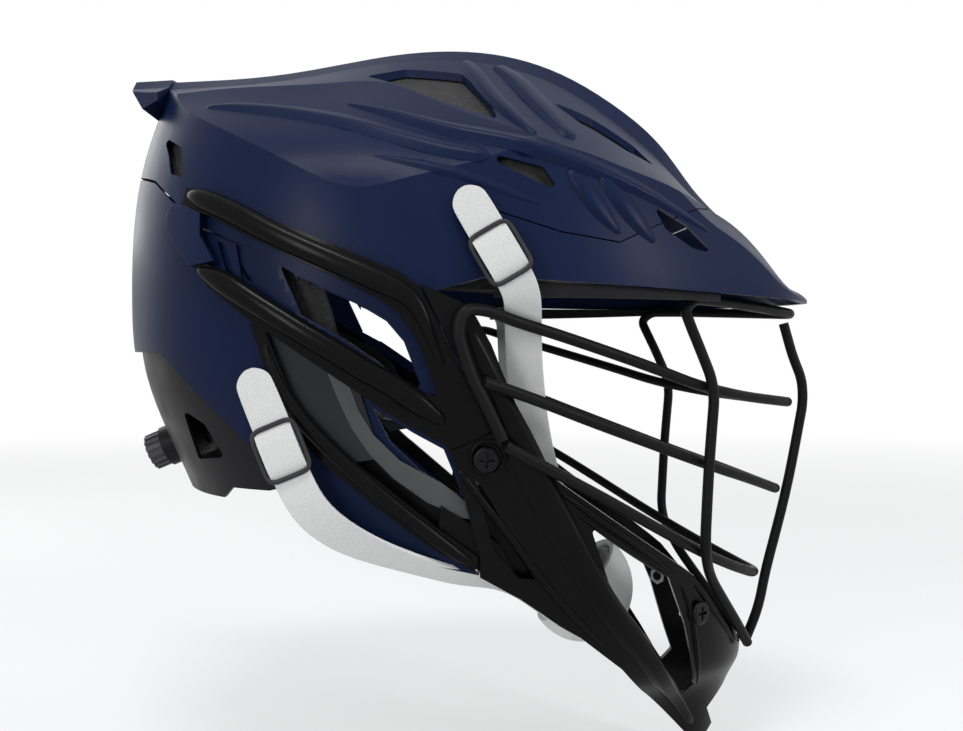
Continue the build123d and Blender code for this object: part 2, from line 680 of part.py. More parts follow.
pad_corner_shares = {
    "crown_pad": ((-0.26, -0.36, 0.40), (0.28, 0.36, 0.70)),
    "front_pad": ((0.34, -0.52, 0.19), (0.60, 0.52, 0.44)),
    "rear_pad": ((-0.60, -0.46, 0.27), (-0.33, 0.46, 0.46)),
    "side_pad_left": ((-0.24, 0.50, 0.20), (0.26, 0.95, 0.44)),
    "side_pad_right": ((-0.24, -0.95, 0.20), (0.26, -0.50, 0.44)),
}
for name, (low, high) in pad_corner_shares.items():
    block = pad_block(low, high)
    with BuildPart() as pad:
        add(pad_shell)
        add(block, mode=Mode.INTERSECT)
    finish_part(pad.part, name)

# Panels in the side bands, level with the shell, and the jaw pads inside them.
panel_outline_shares = [
    (-0.158, 0.028), (-0.06, -0.015), (0.010, -0.070), (0.035, -0.130), (0.075, -0.260),
    (0.0, -0.272), (-0.082, -0.183), (-0.122, -0.098),
]
for side, name in ((1, "jaw_panel_left"), (-1, "jaw_panel_right")):
    with BuildPart() as jaw_panel:
        add(low_skin)
        add(side_prism(panel_outline_shares, 0, side), mode=Mode.INTERSECT)
    finish_part(jaw_panel.part, name)
jaw_pad_thickness = 9.0
jaw_pad_shares = [
    (-0.15, 0.02), (-0.015, -0.075), (0.010, -0.120), (0.060, -0.245), (-0.020, -0.235),
    (-0.10, -0.140),
]
jaw_start = shell_wall + soft_gap
jaw_skin = skin_between(oval_body(jaw_start), oval_body(jaw_start + jaw_pad_thickness))
for side, name in ((1, "jaw_pad_left"), (-1, "jaw_pad_right")):
    with BuildPart() as jaw_pad:
        add(side_prism(jaw_pad_shares, 0, side))
        add(jaw_skin, mode=Mode.INTERSECT)
    finish_part(jaw_pad.part, name)

# Rear fit: a bracket round the nape, a dial on a lead screw and a sliding cradle.
bracket_thickness = 3.0
bracket_outline_shares = [
    (-0.70, 0.0), (-0.47, 0.0), (-0.41, -0.03), (-0.33, -0.10), (-0.22, -0.19), (-0.12, -0.27),
    (-0.09, -0.315), (-0.165, -0.335), (-0.255, -0.335), (-0.28, -0.36), (-0.33, -0.36),
    (-0.70, -0.36),
]
bracket_port_shares = [(-0.375, -0.17), (-0.315, -0.20), (-0.27, -0.27), (-0.345, -0.28)]
bracket_skin = skin_between(
    oval_body(shell_wall + seat_gap), oval_body(shell_wall + seat_gap + bracket_thickness)
)
dial_place_share = (-0.452, 0.0, -0.252)
dial_heading = Vector(-0.92, 0, -0.385).normalized()
dial_plane = Plane(space_spots([dial_place_share])[0], x_dir=(0, 1, 0), z_dir=dial_heading)
boss_diameter = 22.0
boss_reach = 5.0            # how far the boss stands out behind the bracket
boss_depth = 9.0            # how far it reaches forward
spindle_diameter = 6.0
running_gap = 0.08
cap_diameter = 18.0
cap_length = 8.0
sleeve_diameter = 20.0
sleeve_length = 7.0
well_room = 0.8             # round the sleeve, in the bracket's well
grip_ribs = 16
rib_width = 1.6
rib_depth = 0.8
cradle_travel = 10.0
cradle_thickness = 3.0
cradle_width = 96.0
cradle_height = 34.0
cradle_radius = 78.0
nut_boss_diameter = 14.0
nut_boss_length = 9.0
cradle_pad_thickness = 6.0
part_gap = 0.4              # along the spindle, between turning and standing pieces

with BuildPart() as cradle_bracket:
    add(bracket_skin)
    add(side_prism(bracket_outline_shares), mode=Mode.INTERSECT)
    add(side_prism(bracket_port_shares, vent_rounding), mode=Mode.SUBTRACT)
    with BuildSketch(dial_plane.offset(boss_reach)):
        Circle(sleeve_diameter / 2 + well_room)
    extrude(amount=overrun, mode=Mode.SUBTRACT)
    with BuildSketch(dial_plane.offset(boss_reach)):
        Circle(boss_diameter / 2)
    extrude(amount=-boss_depth - boss_reach)
    with BuildSketch(dial_plane.offset(boss_reach)):
        Circle(spindle_diameter / 2 + running_gap)
    extrude(amount=-boss_depth - boss_reach, mode=Mode.SUBTRACT)
finish_part(cradle_bracket.part, "cradle_bracket")

with BuildPart() as dial_sleeve:
    with BuildSketch(dial_plane.offset(boss_reach + part_gap)):
        Circle(sleeve_diameter / 2)
        Circle(spindle_diameter / 2, mode=Mode.SUBTRACT)
    extrude(amount=sleeve_length)
finish_part(dial_sleeve.part, "dial_sleeve")
cap_start = boss_reach + part_gap + sleeve_length
with BuildPart() as dial_cap:
    with BuildSketch(dial_plane.offset(cap_start)):
        Circle(cap_diameter / 2)
        with PolarLocations(cap_diameter / 2, grip_ribs):
            Rectangle(rib_depth * 2, rib_width, mode=Mode.SUBTRACT)
        Circle(spindle_diameter / 2, mode=Mode.SUBTRACT)
    extrude(amount=cap_length)
finish_part(dial_cap.part, "dial_cap")
spindle_tail = boss_depth + part_gap + nut_boss_length + cradle_travel
with BuildPart() as dial_spindle:
    with BuildSketch(dial_plane.offset(cap_start + cap_length)):
        Circle(spindle_diameter / 2)
    extrude(amount=-cap_start - cap_length - spindle_tail)
finish_part(dial_spindle.part, "dial_spindle")

cradle_back = -boss_depth - part_gap
with BuildPart() as fit_cradle:
    with BuildSketch(dial_plane.offset(cradle_back)):
        Circle(nut_boss_diameter / 2)
    extrude(amount=-nut_boss_length)
    bow = dial_plane.offset(cradle_back - nut_boss_length + cradle_thickness - cradle_radius)
    tilted = Plane(bow.origin, x_dir=bow.z_dir, z_dir=dial_plane.z_dir.cross(Vector(0, 1, 0)))
    with BuildSketch(tilted.offset(-cradle_height / 2)):
        Circle(cradle_radius)
        Circle(cradle_radius - cradle_thickness, mode=Mode.SUBTRACT)
        with Locations((cradle_radius, 0)):
            Rectangle(cradle_radius, cradle_width, mode=Mode.INTERSECT)
    extrude(amount=cradle_height)
    with BuildSketch(dial_plane.offset(cradle_back)):
        Circle(spindle_diameter / 2 + running_gap)
    extrude(amount=-nut_boss_length * 2, mode=Mode.SUBTRACT)
finish_part(fit_cradle.part, "fit_cradle")
with BuildPart() as cradle_pad:
    with BuildSketch(tilted.offset(-cradle_height / 2)):
        Circle(cradle_radius - cradle_thickness - soft_gap)
        Circle(cradle_radius - cradle_thickness - soft_gap - cradle_pad_thickness, mode=Mode.SUBTRACT)
        with Locations((cradle_radius, 0)):
            Rectangle(cradle_radius, cradle_width, mode=Mode.INTERSECT)
    extrude(amount=cradle_height)
    with BuildSketch(dial_plane.offset(cradle_back)):
        Circle(nut_boss_diameter / 2)
    extrude(amount=-spindle_tail * 2, mode=Mode.SUBTRACT)
finish_part(cradle_pad.part, "cradle_pad")
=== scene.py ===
import bpy
import math
import numpy
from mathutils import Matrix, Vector


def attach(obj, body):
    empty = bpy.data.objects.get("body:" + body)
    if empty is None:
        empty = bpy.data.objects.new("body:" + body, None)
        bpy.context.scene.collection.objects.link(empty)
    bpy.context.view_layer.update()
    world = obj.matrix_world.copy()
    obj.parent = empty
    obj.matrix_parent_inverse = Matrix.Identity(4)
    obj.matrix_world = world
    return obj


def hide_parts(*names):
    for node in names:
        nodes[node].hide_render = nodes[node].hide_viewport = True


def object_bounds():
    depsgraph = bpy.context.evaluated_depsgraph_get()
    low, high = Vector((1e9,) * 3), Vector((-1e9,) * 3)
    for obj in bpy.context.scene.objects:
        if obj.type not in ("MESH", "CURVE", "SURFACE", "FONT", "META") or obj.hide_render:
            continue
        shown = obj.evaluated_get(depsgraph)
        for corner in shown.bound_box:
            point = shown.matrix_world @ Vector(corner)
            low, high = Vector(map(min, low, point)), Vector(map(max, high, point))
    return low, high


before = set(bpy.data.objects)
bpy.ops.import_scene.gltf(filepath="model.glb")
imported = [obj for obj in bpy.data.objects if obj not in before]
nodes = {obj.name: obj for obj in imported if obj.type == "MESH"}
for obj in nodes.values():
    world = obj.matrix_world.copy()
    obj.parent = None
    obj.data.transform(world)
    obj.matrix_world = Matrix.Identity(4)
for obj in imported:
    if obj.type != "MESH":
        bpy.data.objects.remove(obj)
cad_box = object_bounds()

# Studio: a pale floor that fades into a white surround, soft lamps from above, from the
# front, from the helmet's side and from behind it, and the camera level with the
# wearer's ear on the helmet's right side.
camera_place = (0.055, -0.500, -0.015)
focal_pixels = 1000
picture_width = 963
sensor_width = 36.0
level_view = math.radians(90)
near_clip = 0.01
white = (1, 1, 1, 1)
surround_colour = (0.93, 0.96, 1.0, 1)
surround_level = 0.42
floor_colour = (0.86, 0.86, 0.87, 1)
floor_drop = 0.012
floor_size = 40.0
fade_start = 0.25
fade_end = 2.5
near_glow = 0.55


def add_camera():
    bpy.ops.object.camera_add(location=camera_place, rotation=(level_view, 0, 0))
    camera = bpy.context.object
    camera.name = "camera"
    camera.data.sensor_width = sensor_width
    camera.data.lens = focal_pixels / picture_width * sensor_width
    camera.data.clip_start = near_clip
    bpy.context.scene.camera = camera


def math_node(tree, operation, first, second):
    """Result of one operation on two values of a node tree."""
    node = tree.nodes.new("ShaderNodeMath")
    node.operation = operation
    tree.links.new(first, node.inputs[0])
    tree.links.new(second, node.inputs[1])
    return node.outputs[0]


def seen_directly(tree):
    """1 for rays from the camera, off gloss and through glass, 0 for the light on things."""
    path = tree.nodes.new("ShaderNodeLightPath")
    either = math_node(
        tree, "MAXIMUM", path.outputs["Is Camera Ray"], path.outputs["Is Glossy Ray"]
    )
    return math_node(tree, "MAXIMUM", either, path.outputs["Is Transmission Ray"])


def show_mix(tree, share, plain, seen, output):
    """The plain surface, and where the share is 1 the seen one."""
    mix = tree.nodes.new("ShaderNodeMixShader")
    tree.links.new(share, mix.inputs[0])
    tree.links.new(plain.outputs[0], mix.inputs[1])
    tree.links.new(seen.outputs[0], mix.inputs[2])
    out = tree.nodes.new(output)
    tree.links.new(mix.outputs[0], out.inputs["Surface"])


def light_surround():
    world = bpy.data.worlds.new("surround")
    bpy.context.scene.world = world
    world.use_nodes = True
    tree = world.node_tree
    tree.nodes.clear()
    lighting = tree.nodes.new("ShaderNodeBackground")
    lighting.inputs["Color"].default_value = surround_colour
    lighting.inputs["Strength"].default_value = surround_level
    backdrop = tree.nodes.new("ShaderNodeBackground")
    backdrop.inputs["Color"].default_value = white
    show_mix(tree, seen_directly(tree), lighting, backdrop, "ShaderNodeOutputWorld")


def lay_floor():
    bpy.ops.mesh.primitive_plane_add(size=floor_size, location=(0, 0, 0))
    floor = bpy.context.object
    floor.name = "studio_floor"
    bpy.ops.object.mode_set(mode="EDIT")
    bpy.ops.transform.translate(value=(0, 0, cad_box[0][2] - floor_drop))
    bpy.ops.object.mode_set(mode="OBJECT")
    material = bpy.data.materials.new("pale_floor")
    material.use_nodes = True
    tree = material.node_tree
    tree.nodes.clear()
    place = tree.nodes.new("ShaderNodeTexCoord")
    distance = tree.nodes.new("ShaderNodeVectorMath")
    distance.operation = "LENGTH"
    tree.links.new(place.outputs["Object"], distance.inputs[0])
    fade = tree.nodes.new("ShaderNodeMapRange")
    fade.inputs["From Min"].default_value = fade_start
    fade.inputs["From Max"].default_value = fade_end
    fade.inputs["To Min"].default_value = near_glow
    tree.links.new(distance.outputs["Value"], fade.inputs["Value"])
    board = tree.nodes.new("ShaderNodeBsdfDiffuse")
    board.inputs["Color"].default_value = floor_colour
    glow = tree.nodes.new("ShaderNodeEmission")
    share = math_node(tree, "MULTIPLY", fade.outputs["Result"], seen_directly(tree))
    show_mix(tree, share, board, glow, "ShaderNodeOutputMaterial")
    floor.data.materials.append(material)


def hang_lamp(name, place, aim, size, power):
    bpy.ops.object.light_add(type="AREA", location=place)
    lamp = bpy.context.object
    lamp.name = name
    lamp.data.shape = "RECTANGLE"
    lamp.data.size, lamp.data.size_y = size
    lamp.data.energy = power
    heading = Vector(aim) - Vector(place)
    lamp.rotation_euler = heading.to_track_quat("-Z", "Y").to_euler()


add_camera()
light_surround()
lay_floor()
hang_lamp(
    "top_lamp", place=(-0.05, -0.55, 1.10), aim=(0.02, 0.0, 0.05), size=(0.42, 0.26), power=8.0
)
hang_lamp(
    "front_lamp", place=(1.00, -0.55, 0.35), aim=(0.10, 0.0, 0.0), size=(0.22, 0.34), power=4.5
)
hang_lamp(
    "side_lamp", place=(-0.55, -1.10, 0.30), aim=(0.0, 0.0, 0.0), size=(0.24, 0.40), power=5.0
)
hang_lamp(
    "back_lamp", place=(-0.90, 0.70, 0.55), aim=(0.0, 0.0, 0.05), size=(0.80, 0.80), power=4.5
)
bpy.context.scene.view_settings.view_transform = "Standard"

# Crown shell, visor and rear shell: injection moulded plastic under a satin navy lacquer.
# The lacquer lies a little uneven, and handling has dulled it in soft patches.
tone_first, tone_second, tone_result = 6, 7, 2  # the Mix node's places for colours
wear_from, wear_to = 0.3, 0.7
wear_detail = 4.0
pore_detail = 2.0
worn_gain, worn_haze = 1.25, 0.001


def new_skin(name):
    """New material, with its node tree and the skin that the rest is linked to."""
    material = bpy.data.materials.new(name)
    material.use_nodes = True
    tree = material.node_tree
    return material, tree, tree.nodes["Principled BSDF"]


def pattern(tree, kind, scale, **settings):
    """Noise or cells at a scale, measured on the piece itself."""
    place = tree.nodes.new("ShaderNodeTexCoord")
    texture = tree.nodes.new(kind)
    texture.inputs["Scale"].default_value = scale
    for key, value in settings.items():
        texture.inputs[key].default_value = value
    tree.links.new(place.outputs["Object"], texture.inputs["Vector"])
    return texture


def tint(tree, skin, share, first, second):
    """Skin colour that goes from the first to the second with the share."""
    tone = tree.nodes.new("ShaderNodeMix")
    tone.data_type = "RGBA"
    tone.inputs[tone_first].default_value = (*first, 1)
    tone.inputs[tone_second].default_value = (*second, 1)
    tree.links.new(share, tone.inputs[0])
    tree.links.new(tone.outputs[tone_result], skin.inputs["Base Color"])


def dent(tree, skin, height, strength, depth, inward=False):
    """Fine relief on the skin."""
    bump = tree.nodes.new("ShaderNodeBump")
    bump.invert = inward
    bump.inputs["Strength"].default_value = strength
    bump.inputs["Distance"].default_value = depth
    tree.links.new(height, bump.inputs["Height"])
    tree.links.new(bump.outputs["Normal"], skin.inputs["Normal"])


def lacquered(name, colour, rough, wear, pores, shine=0.2):
    """Lacquered or bare moulding: patches of wear in its gloss and a fine skin texture.

    rough is its roughness from fresh to worn, wear the scale of the patches, and pores
    the scale, strength and depth of the texture.
    """
    material, tree, skin = new_skin(name)
    patches = pattern(tree, "ShaderNodeTexNoise", wear, Detail=wear_detail)
    gloss = tree.nodes.new("ShaderNodeMapRange")
    gloss.inputs["From Min"].default_value = wear_from
    gloss.inputs["From Max"].default_value = wear_to
    gloss.inputs["To Min"].default_value = rough[0]
    gloss.inputs["To Max"].default_value = rough[1]
    tree.links.new(patches.outputs["Fac"], gloss.inputs["Value"])
    tree.links.new(gloss.outputs["Result"], skin.inputs["Roughness"])
    worn = [part * worn_gain + worn_haze for part in colour]
    tint(tree, skin, patches.outputs["Fac"], colour, worn)
    scale, strength, depth = pores
    texture = pattern(tree, "ShaderNodeTexNoise", scale, Detail=pore_detail)
    dent(tree, skin, texture.outputs["Fac"], strength, depth)
    skin.inputs["Specular IOR Level"].default_value = shine
    return material


def finish_nodes(material, *names):
    for name in names:
        for place in nodes[name].material_slots:
            place.material = material


navy = lacquered(
    "navy_lacquer", (0.0030, 0.0074, 0.029), rough=(0.32, 0.42), wear=18.0,
    pores=(900.0, 0.10, 0.0004), shine=0.07,
)
finish_nodes(navy, "crown_shell", "visor", "rear_shell")

# Roof fins: the fins, blade, band and crease of the crown shell and visor, in the same
# lacquered plastic. Each is a bar laid along rows of places on the mouldings: shares of
# reach and drop in the side view, then shares of the bar's width and rise.
reach, drop = 0.200, 0.200
ray_start = 0.30
bar_steps = 5
bar_root = 0.0012
bar_merge = 0.00001
form_smooth = math.radians(32)
flat_top = [
    (-1.0, -1.0), (-0.98, 0.0), (-0.62, 0.88), (-0.52, 1.0), (0.52, 1.0), (0.62, 0.88),
    (0.98, 0.0), (1.0, -1.0),
]
blade_top = [
    (-1.0, -1.0), (-0.98, 0.0), (-0.42, 0.86), (-0.28, 1.0), (0.0, 1.0), (0.3, 0.7),
    (0.98, 0.0), (1.0, -1.0),
]


def level_hit(moulding, x, z):
    """Where a level ray from the right meets a moulding, and the way out of it there."""
    into = moulding.matrix_world.inverted()
    start = into @ Vector((x, -ray_start, z))
    way = (into @ Vector((x, 0.0, z)) - start).normalized()
    found, place, normal = moulding.ray_cast(start, way)[:3]
    if not found:
        return None
    outward = (moulding.matrix_world.to_3x3() @ normal).normalized()
    if outward.y > 0:
        outward = -outward
    return moulding.matrix_world @ place, outward


def smooth_rows(rows, steps):
    """Rows filled in between along a smooth line through them."""
    filled = []
    for index in range(len(rows) - 1):
        before = rows[max(index - 1, 0)]
        start, end = rows[index], rows[index + 1]
        after = rows[min(index + 2, len(rows) - 1)]
        for step in range(steps):
            t = step / steps
            filled.append([
                q + 0.5 * t * (r - p + t * (2 * p - 5 * q + 4 * r - s + t * (3 * (q - r) + s - p)))
                for p, q, r, s in zip(before, start, end, after)
            ])
    return filled + [list(rows[-1])]


def laid_grid(name, across, along, place_at):
    """Grid whose vertices lie at the places that belong to their row and column."""
    bpy.ops.object.select_all(action="DESELECT")
    bpy.ops.mesh.primitive_grid_add(x_subdivisions=across, y_subdivisions=along)
    piece = bpy.context.object
    piece.name = name
    for vertex in piece.data.vertices:
        vertex.co = place_at(*divmod(vertex.index, across + 1))
    return piece


def face_outwards(merge=0.0):
    """Merge doubled vertices of the piece in hand and turn its faces outwards."""
    bpy.ops.object.mode_set(mode="EDIT")
    bpy.ops.mesh.select_all(action="SELECT")
    if merge:
        bpy.ops.mesh.remove_doubles(threshold=merge)
    bpy.ops.mesh.normals_make_consistent(inside=False)
    bpy.ops.object.mode_set(mode="OBJECT")


def take_in_hand(pieces):
    """Select pieces, the first one active."""
    bpy.ops.object.select_all(action="DESELECT")
    for piece in pieces:
        piece.select_set(True)
    bpy.context.view_layer.objects.active = pieces[0]


def lay_bar(name, mouldings, rows, width, rise, profile, side):
    """Bar along places on the first moulding that a level ray meets, its ends closed."""
    spots = []
    for x, z, wide, high in smooth_rows(rows, bar_steps):
        hits = [level_hit(moulding, reach * x, drop * z) for moulding in mouldings]
        hits = [hit for hit in hits if hit]
        if hits:
            place, outward = min(hits, key=lambda hit: hit[0].y)
            spots.append((place, outward, wide, high))
    last = len(spots) - 1
    rings = []
    for index, (place, outward, wide, high) in enumerate(spots):
        heading = spots[min(index + 1, last)][0] - spots[max(index - 1, 0)][0]
        across = outward.cross(heading).normalized()
        end = 0.0 if index in (0, last) else 1.0
        ring = []
        for u, v in profile + profile[:1]:
            lift = v * (rise * high if v > 0 else bar_root)
            point = place + across * u * width * wide * end / 2 + outward * lift * end
            ring.append(Vector((point.x, side * -point.y, point.z)))
        rings.append(ring)
    bar = laid_grid(name, len(profile), last, lambda row, column: rings[row][column])
    face_outwards(bar_merge)
    return bar


def lay_bars(name, mouldings, table, material):
    """Bars on both sides, joined: each has its rows, width, rise and profile."""
    pieces = [
        lay_bar(name, mouldings, rows, width, rise, profile, side)
        for rows, width, rise, profile in table for side in (1, -1)
    ]
    take_in_hand(pieces)
    bpy.ops.object.join()
    bars = bpy.context.object
    bars.name = name
    bpy.ops.object.shade_smooth_by_angle(angle=form_smooth)
    bars.data.materials.append(material)
    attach(bars, "helmet")


near_fin = [
    (0.236, 0.640, 0.5, 0.5), (0.262, 0.590, 1.0, 1.0), (0.298, 0.520, 1.0, 1.0),
    (0.338, 0.462, 0.9, 0.9), (0.390, 0.402, 0.4, 0.3),
]
far_fin = [
    (0.310, 0.628, 0.5, 0.5), (0.355, 0.578, 0.9, 1.0), (0.415, 0.485, 1.0, 1.0),
    (0.470, 0.400, 0.6, 0.5),
]
low_fin = [
    (0.452, 0.328, 0.4, 0.4), (0.485, 0.288, 1.0, 1.0), (0.522, 0.240, 0.9, 0.9),
    (0.562, 0.196, 0.3, 0.3),
]
front_fin = [
    (0.520, 0.318, 0.4, 0.4), (0.565, 0.268, 1.0, 1.0), (0.605, 0.220, 0.9, 0.9),
    (0.640, 0.182, 0.3, 0.3),
]
roof_blade = [
    (-0.020, 0.490, 0.2, 0.2), (0.100, 0.452, 0.8, 0.8), (0.220, 0.412, 1.0, 1.0),
    (0.340, 0.383, 1.0, 1.0), (0.460, 0.350, 0.9, 0.9), (0.560, 0.316, 0.8, 0.8),
    (0.660, 0.274, 0.6, 0.6), (0.780, 0.214, 0.2, 0.2),
]
roof_band = [
    (-0.322, 0.485, 0.3, 0.3), (-0.246, 0.481, 0.8, 0.8), (-0.129, 0.463, 1.0, 1.0),
    (-0.014, 0.435, 1.0, 1.0), (0.086, 0.402, 1.0, 1.0), (0.189, 0.370, 1.0, 1.0),
    (0.263, 0.354, 0.8, 0.8), (0.333, 0.342, 0.2, 0.2),
]
roof_crease = [
    (0.056, 0.346, 0.3, 0.3), (0.152, 0.328, 1.0, 1.0), (0.243, 0.304, 1.0, 0.8),
    (0.333, 0.272, 0.8, 0.6), (0.404, 0.248, 0.2, 0.2),
]
lay_bars("roof_fins", [nodes["crown_shell"], nodes["visor"]], [
    (near_fin, 0.0095, 0.0022, flat_top), (far_fin, 0.0140, 0.0022, flat_top),
    (low_fin, 0.0090, 0.0022, flat_top), (front_fin, 0.0100, 0.0022, flat_top),
    (roof_blade, 0.0110, 0.0026, blade_top), (roof_band, 0.0120, 0.0022, blade_top),
    (roof_crease, 0.0050, 0.0012, blade_top),
], navy)

# Rear shell's side pieces: navy plastic between the rails, over the frame's rear end and
# round the ear and jaw windows. They are thin sheets bent to the skull form, which is
# fitted through places on the outer sides of the mouldings.
power_count = 5
skull_powers = [(a, b) for a in range(power_count) for b in range(power_count - a)]
skull_span = [(-0.42, 0.42, 0.02), (-0.62, 0.34, 0.02)]
skull_sides = ("side_frame_right", "rear_shell", "chin_guard", "crown_shell")
side_facing = -0.7
sheet_cell = 0.0025
fewest_cells = 4
bevel_steps = 2
sheet_margin_share = 0.02
sheet_bevel_share = 0.22
sheet_bevel_angle = math.radians(50)
prism_start, prism_reach = -0.17, 0.15
other_side = ("MIRROR", {"use_axis": (False, True, False), "use_mirror_merge": False})


def fit_skull():
    """Smooth half width of the helmet's side as powers of the side-view place."""
    terms, widths = [], []
    sides = [nodes[name] for name in skull_sides]
    for x in numpy.arange(*skull_span[0]):
        for z in numpy.arange(*skull_span[1]):
            hits = [level_hit(moulding, reach * x, drop * z) for moulding in sides]
            hits = [hit[0].y for hit in hits if hit and hit[1].y < side_facing]
            if hits:
                terms.append([x ** a * z ** b for a, b in skull_powers])
                widths.append(min(hits))
    return numpy.linalg.lstsq(numpy.array(terms), numpy.array(widths), rcond=None)[0]


skull_fit = fit_skull()


def side_place(x, z, inset):
    """Place on the right side of the skull form, or inside it by the inset."""
    width = sum(share * x ** a * z ** b for share, (a, b) in zip(skull_fit, skull_powers))
    return Vector((reach * x, width + inset, drop * z))


def side_prism(outline):
    """Block right through one side of the helmet with the given side-view outline."""
    bpy.ops.object.select_all(action="DESELECT")
    bpy.ops.mesh.primitive_circle_add(vertices=len(outline), fill_type="NGON")
    block = bpy.context.object
    for vertex, (x, z) in zip(block.data.vertices, outline):
        vertex.co = (reach * x, prism_start, drop * z)
    bpy.ops.object.mode_set(mode="EDIT")
    bpy.ops.mesh.select_all(action="SELECT")
    bpy.ops.mesh.extrude_region_move(TRANSFORM_OT_translate={"value": (0, prism_reach, 0)})
    bpy.ops.object.mode_set(mode="OBJECT")
    face_outwards()
    return block


def apply_steps(piece, steps):
    """Put modifiers on the piece in hand and apply them, one after the other."""
    for kind, settings in steps:
        modifier = piece.modifiers.new(kind.lower(), kind)
        for key, value in settings.items():
            setattr(modifier, key, value)
        bpy.ops.object.modifier_apply(modifier=modifier.name)


def side_sheet(name, outline, material, inset, thickness, windows=(), both=True):
    """Sheet bent to the skull form and cut to its outline, on both sides or the right."""
    left, low = [min(point[axis] for point in outline) - sheet_margin_share for axis in (0, 1)]
    right, high = [max(point[axis] for point in outline) + sheet_margin_share for axis in (0, 1)]
    across = max(int((right - left) * reach / sheet_cell), fewest_cells)
    along = max(int((high - low) * drop / sheet_cell), fewest_cells)
    piece = laid_grid(name, across, along, lambda row, column: side_place(
        left + (right - left) * column / across, low + (high - low) * row / along, inset
    ))
    cutters = [("INTERSECT", side_prism(outline))]
    cutters += [("DIFFERENCE", side_prism(window)) for window in windows]
    take_in_hand([piece])
    apply_steps(piece, [("SOLIDIFY", {"thickness": thickness, "offset": 0.0})])
    for operation, cutter in cutters:
        cut = {"operation": operation, "solver": "EXACT", "object": cutter}
        apply_steps(piece, [("BOOLEAN", cut)])
        bpy.data.objects.remove(cutter)
    apply_steps(piece, [("BEVEL", {
        "width": thickness * sheet_bevel_share, "segments": bevel_steps,
        "angle_limit": sheet_bevel_angle,
    })])
    if both:
        apply_steps(piece, [other_side])
    bpy.ops.object.shade_smooth_by_angle(angle=form_smooth)
    piece.data.materials.append(material)
    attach(piece, "helmet")


rail_gap = [
    (-0.388, 0.243), (-0.366, 0.264), (-0.330, 0.252), (-0.297, 0.235), (-0.296, 0.190),
    (-0.262, 0.135), (-0.318, 0.128), (-0.352, 0.160), (-0.386, 0.212),
]
rail_panel = [
    (-0.278, 0.213), (-0.209, 0.177), (-0.113, 0.133), (-0.123, 0.117), (-0.083, 0.029),
    (-0.089, 0.012), (-0.165, 0.061), (-0.217, 0.091), (-0.266, 0.157),
]
rail_panel_slot = [
    (-0.246, 0.169), (-0.230, 0.161), (-0.185, 0.093), (-0.197, 0.097),
]
window_border = [
    (-0.123, 0.147), (-0.053, 0.107), (0.016, 0.073), (0.076, 0.047), (0.128, 0.012),
    (0.160, -0.028), (0.185, -0.094), (0.205, -0.164), (0.168, -0.160), (0.112, -0.128),
    (0.040, -0.080), (-0.029, -0.036), (-0.089, 0.004), (-0.097, 0.033), (-0.029, -0.004),
]
upper_window = [
    (-0.089, 0.107), (-0.045, 0.079), (0.036, 0.043), (0.088, 0.012), (0.122, -0.028),
    (0.154, -0.112), (0.146, -0.122), (-0.002, -0.020), (-0.089, 0.039),
]
jaw_band = [
    (-0.012, -0.096), (0.056, -0.128), (0.122, -0.168), (0.193, -0.213), (0.229, -0.245),
    (0.265, -0.345), (0.261, -0.390), (0.193, -0.329), (0.112, -0.277), (0.052, -0.225),
    (0.012, -0.154),
]
jaw_window = [
    (0.058, -0.158), (0.138, -0.209), (0.199, -0.243), (0.233, -0.329), (0.227, -0.339),
    (0.152, -0.287), (0.092, -0.227),
]
side_sheet("rail_gaps", rail_gap, navy, inset=-0.0018, thickness=0.0044)
side_sheet(
    "rail_panels", rail_panel, navy, inset=0.0052, thickness=0.0024,
    windows=[rail_panel_slot],
)
side_sheet(
    "window_borders", window_border, navy, inset=0.0048, thickness=0.0026,
    windows=[upper_window],
)
side_sheet(
    "jaw_band", jaw_band, navy, inset=0.0060, thickness=0.0026,
    windows=[jaw_window], both=False,
)

# Visor trim: a soft black rubber strip with a matt skin, pressed along the inside of the
# visor's edge.
rubber = lacquered(
    "trim_rubber", (0.010, 0.010, 0.011), rough=(0.55, 0.70), wear=60.0,
    pores=(1500.0, 0.3, 0.0003), shine=0.08,
)
finish_nodes(rubber, "visor_trim")

# Side frames: glossy black mouldings with two rails and a lower arm, which hold shell and
# guard together. Their edges are rolled, and the light runs along them in long beads.
piano = lacquered(
    "guard_black", (0.0024, 0.0024, 0.0027), rough=(0.20, 0.30), wear=24.0,
    pores=(700.0, 0.08, 0.0004), shine=0.06,
)
finish_nodes(piano, "side_frame_left", "side_frame_right")
round_top = [
    (-1.0, -1.0), (-0.94, 0.1), (-0.78, 0.52), (-0.5, 0.84), (-0.2, 0.98), (0.2, 0.98),
    (0.5, 0.84), (0.78, 0.52), (0.94, 0.1), (1.0, -1.0),
]
upper_bead = [
    (-0.330, 0.278, 0.3, 0.3), (-0.297, 0.265, 0.9, 1.0), (-0.218, 0.228, 1.0, 1.0),
    (-0.145, 0.189, 1.0, 1.0), (-0.065, 0.151, 1.0, 1.0), (0.011, 0.118, 1.0, 1.0),
    (0.078, 0.088, 1.0, 1.0), (0.140, 0.052, 0.8, 0.8), (0.172, -0.010, 0.5, 0.5),
    (0.200, -0.080, 0.3, 0.2),
]
lower_bead = [
    (-0.305, 0.122, 0.3, 0.3), (-0.249, 0.093, 1.0, 1.0), (-0.163, 0.041, 1.0, 1.0),
    (-0.088, -0.005, 1.0, 1.0), (-0.016, -0.047, 1.0, 1.0), (0.041, -0.082, 1.0, 1.0),
    (0.097, -0.114, 1.0, 1.0), (0.151, -0.151, 1.0, 1.0), (0.205, -0.190, 0.4, 0.4),
]
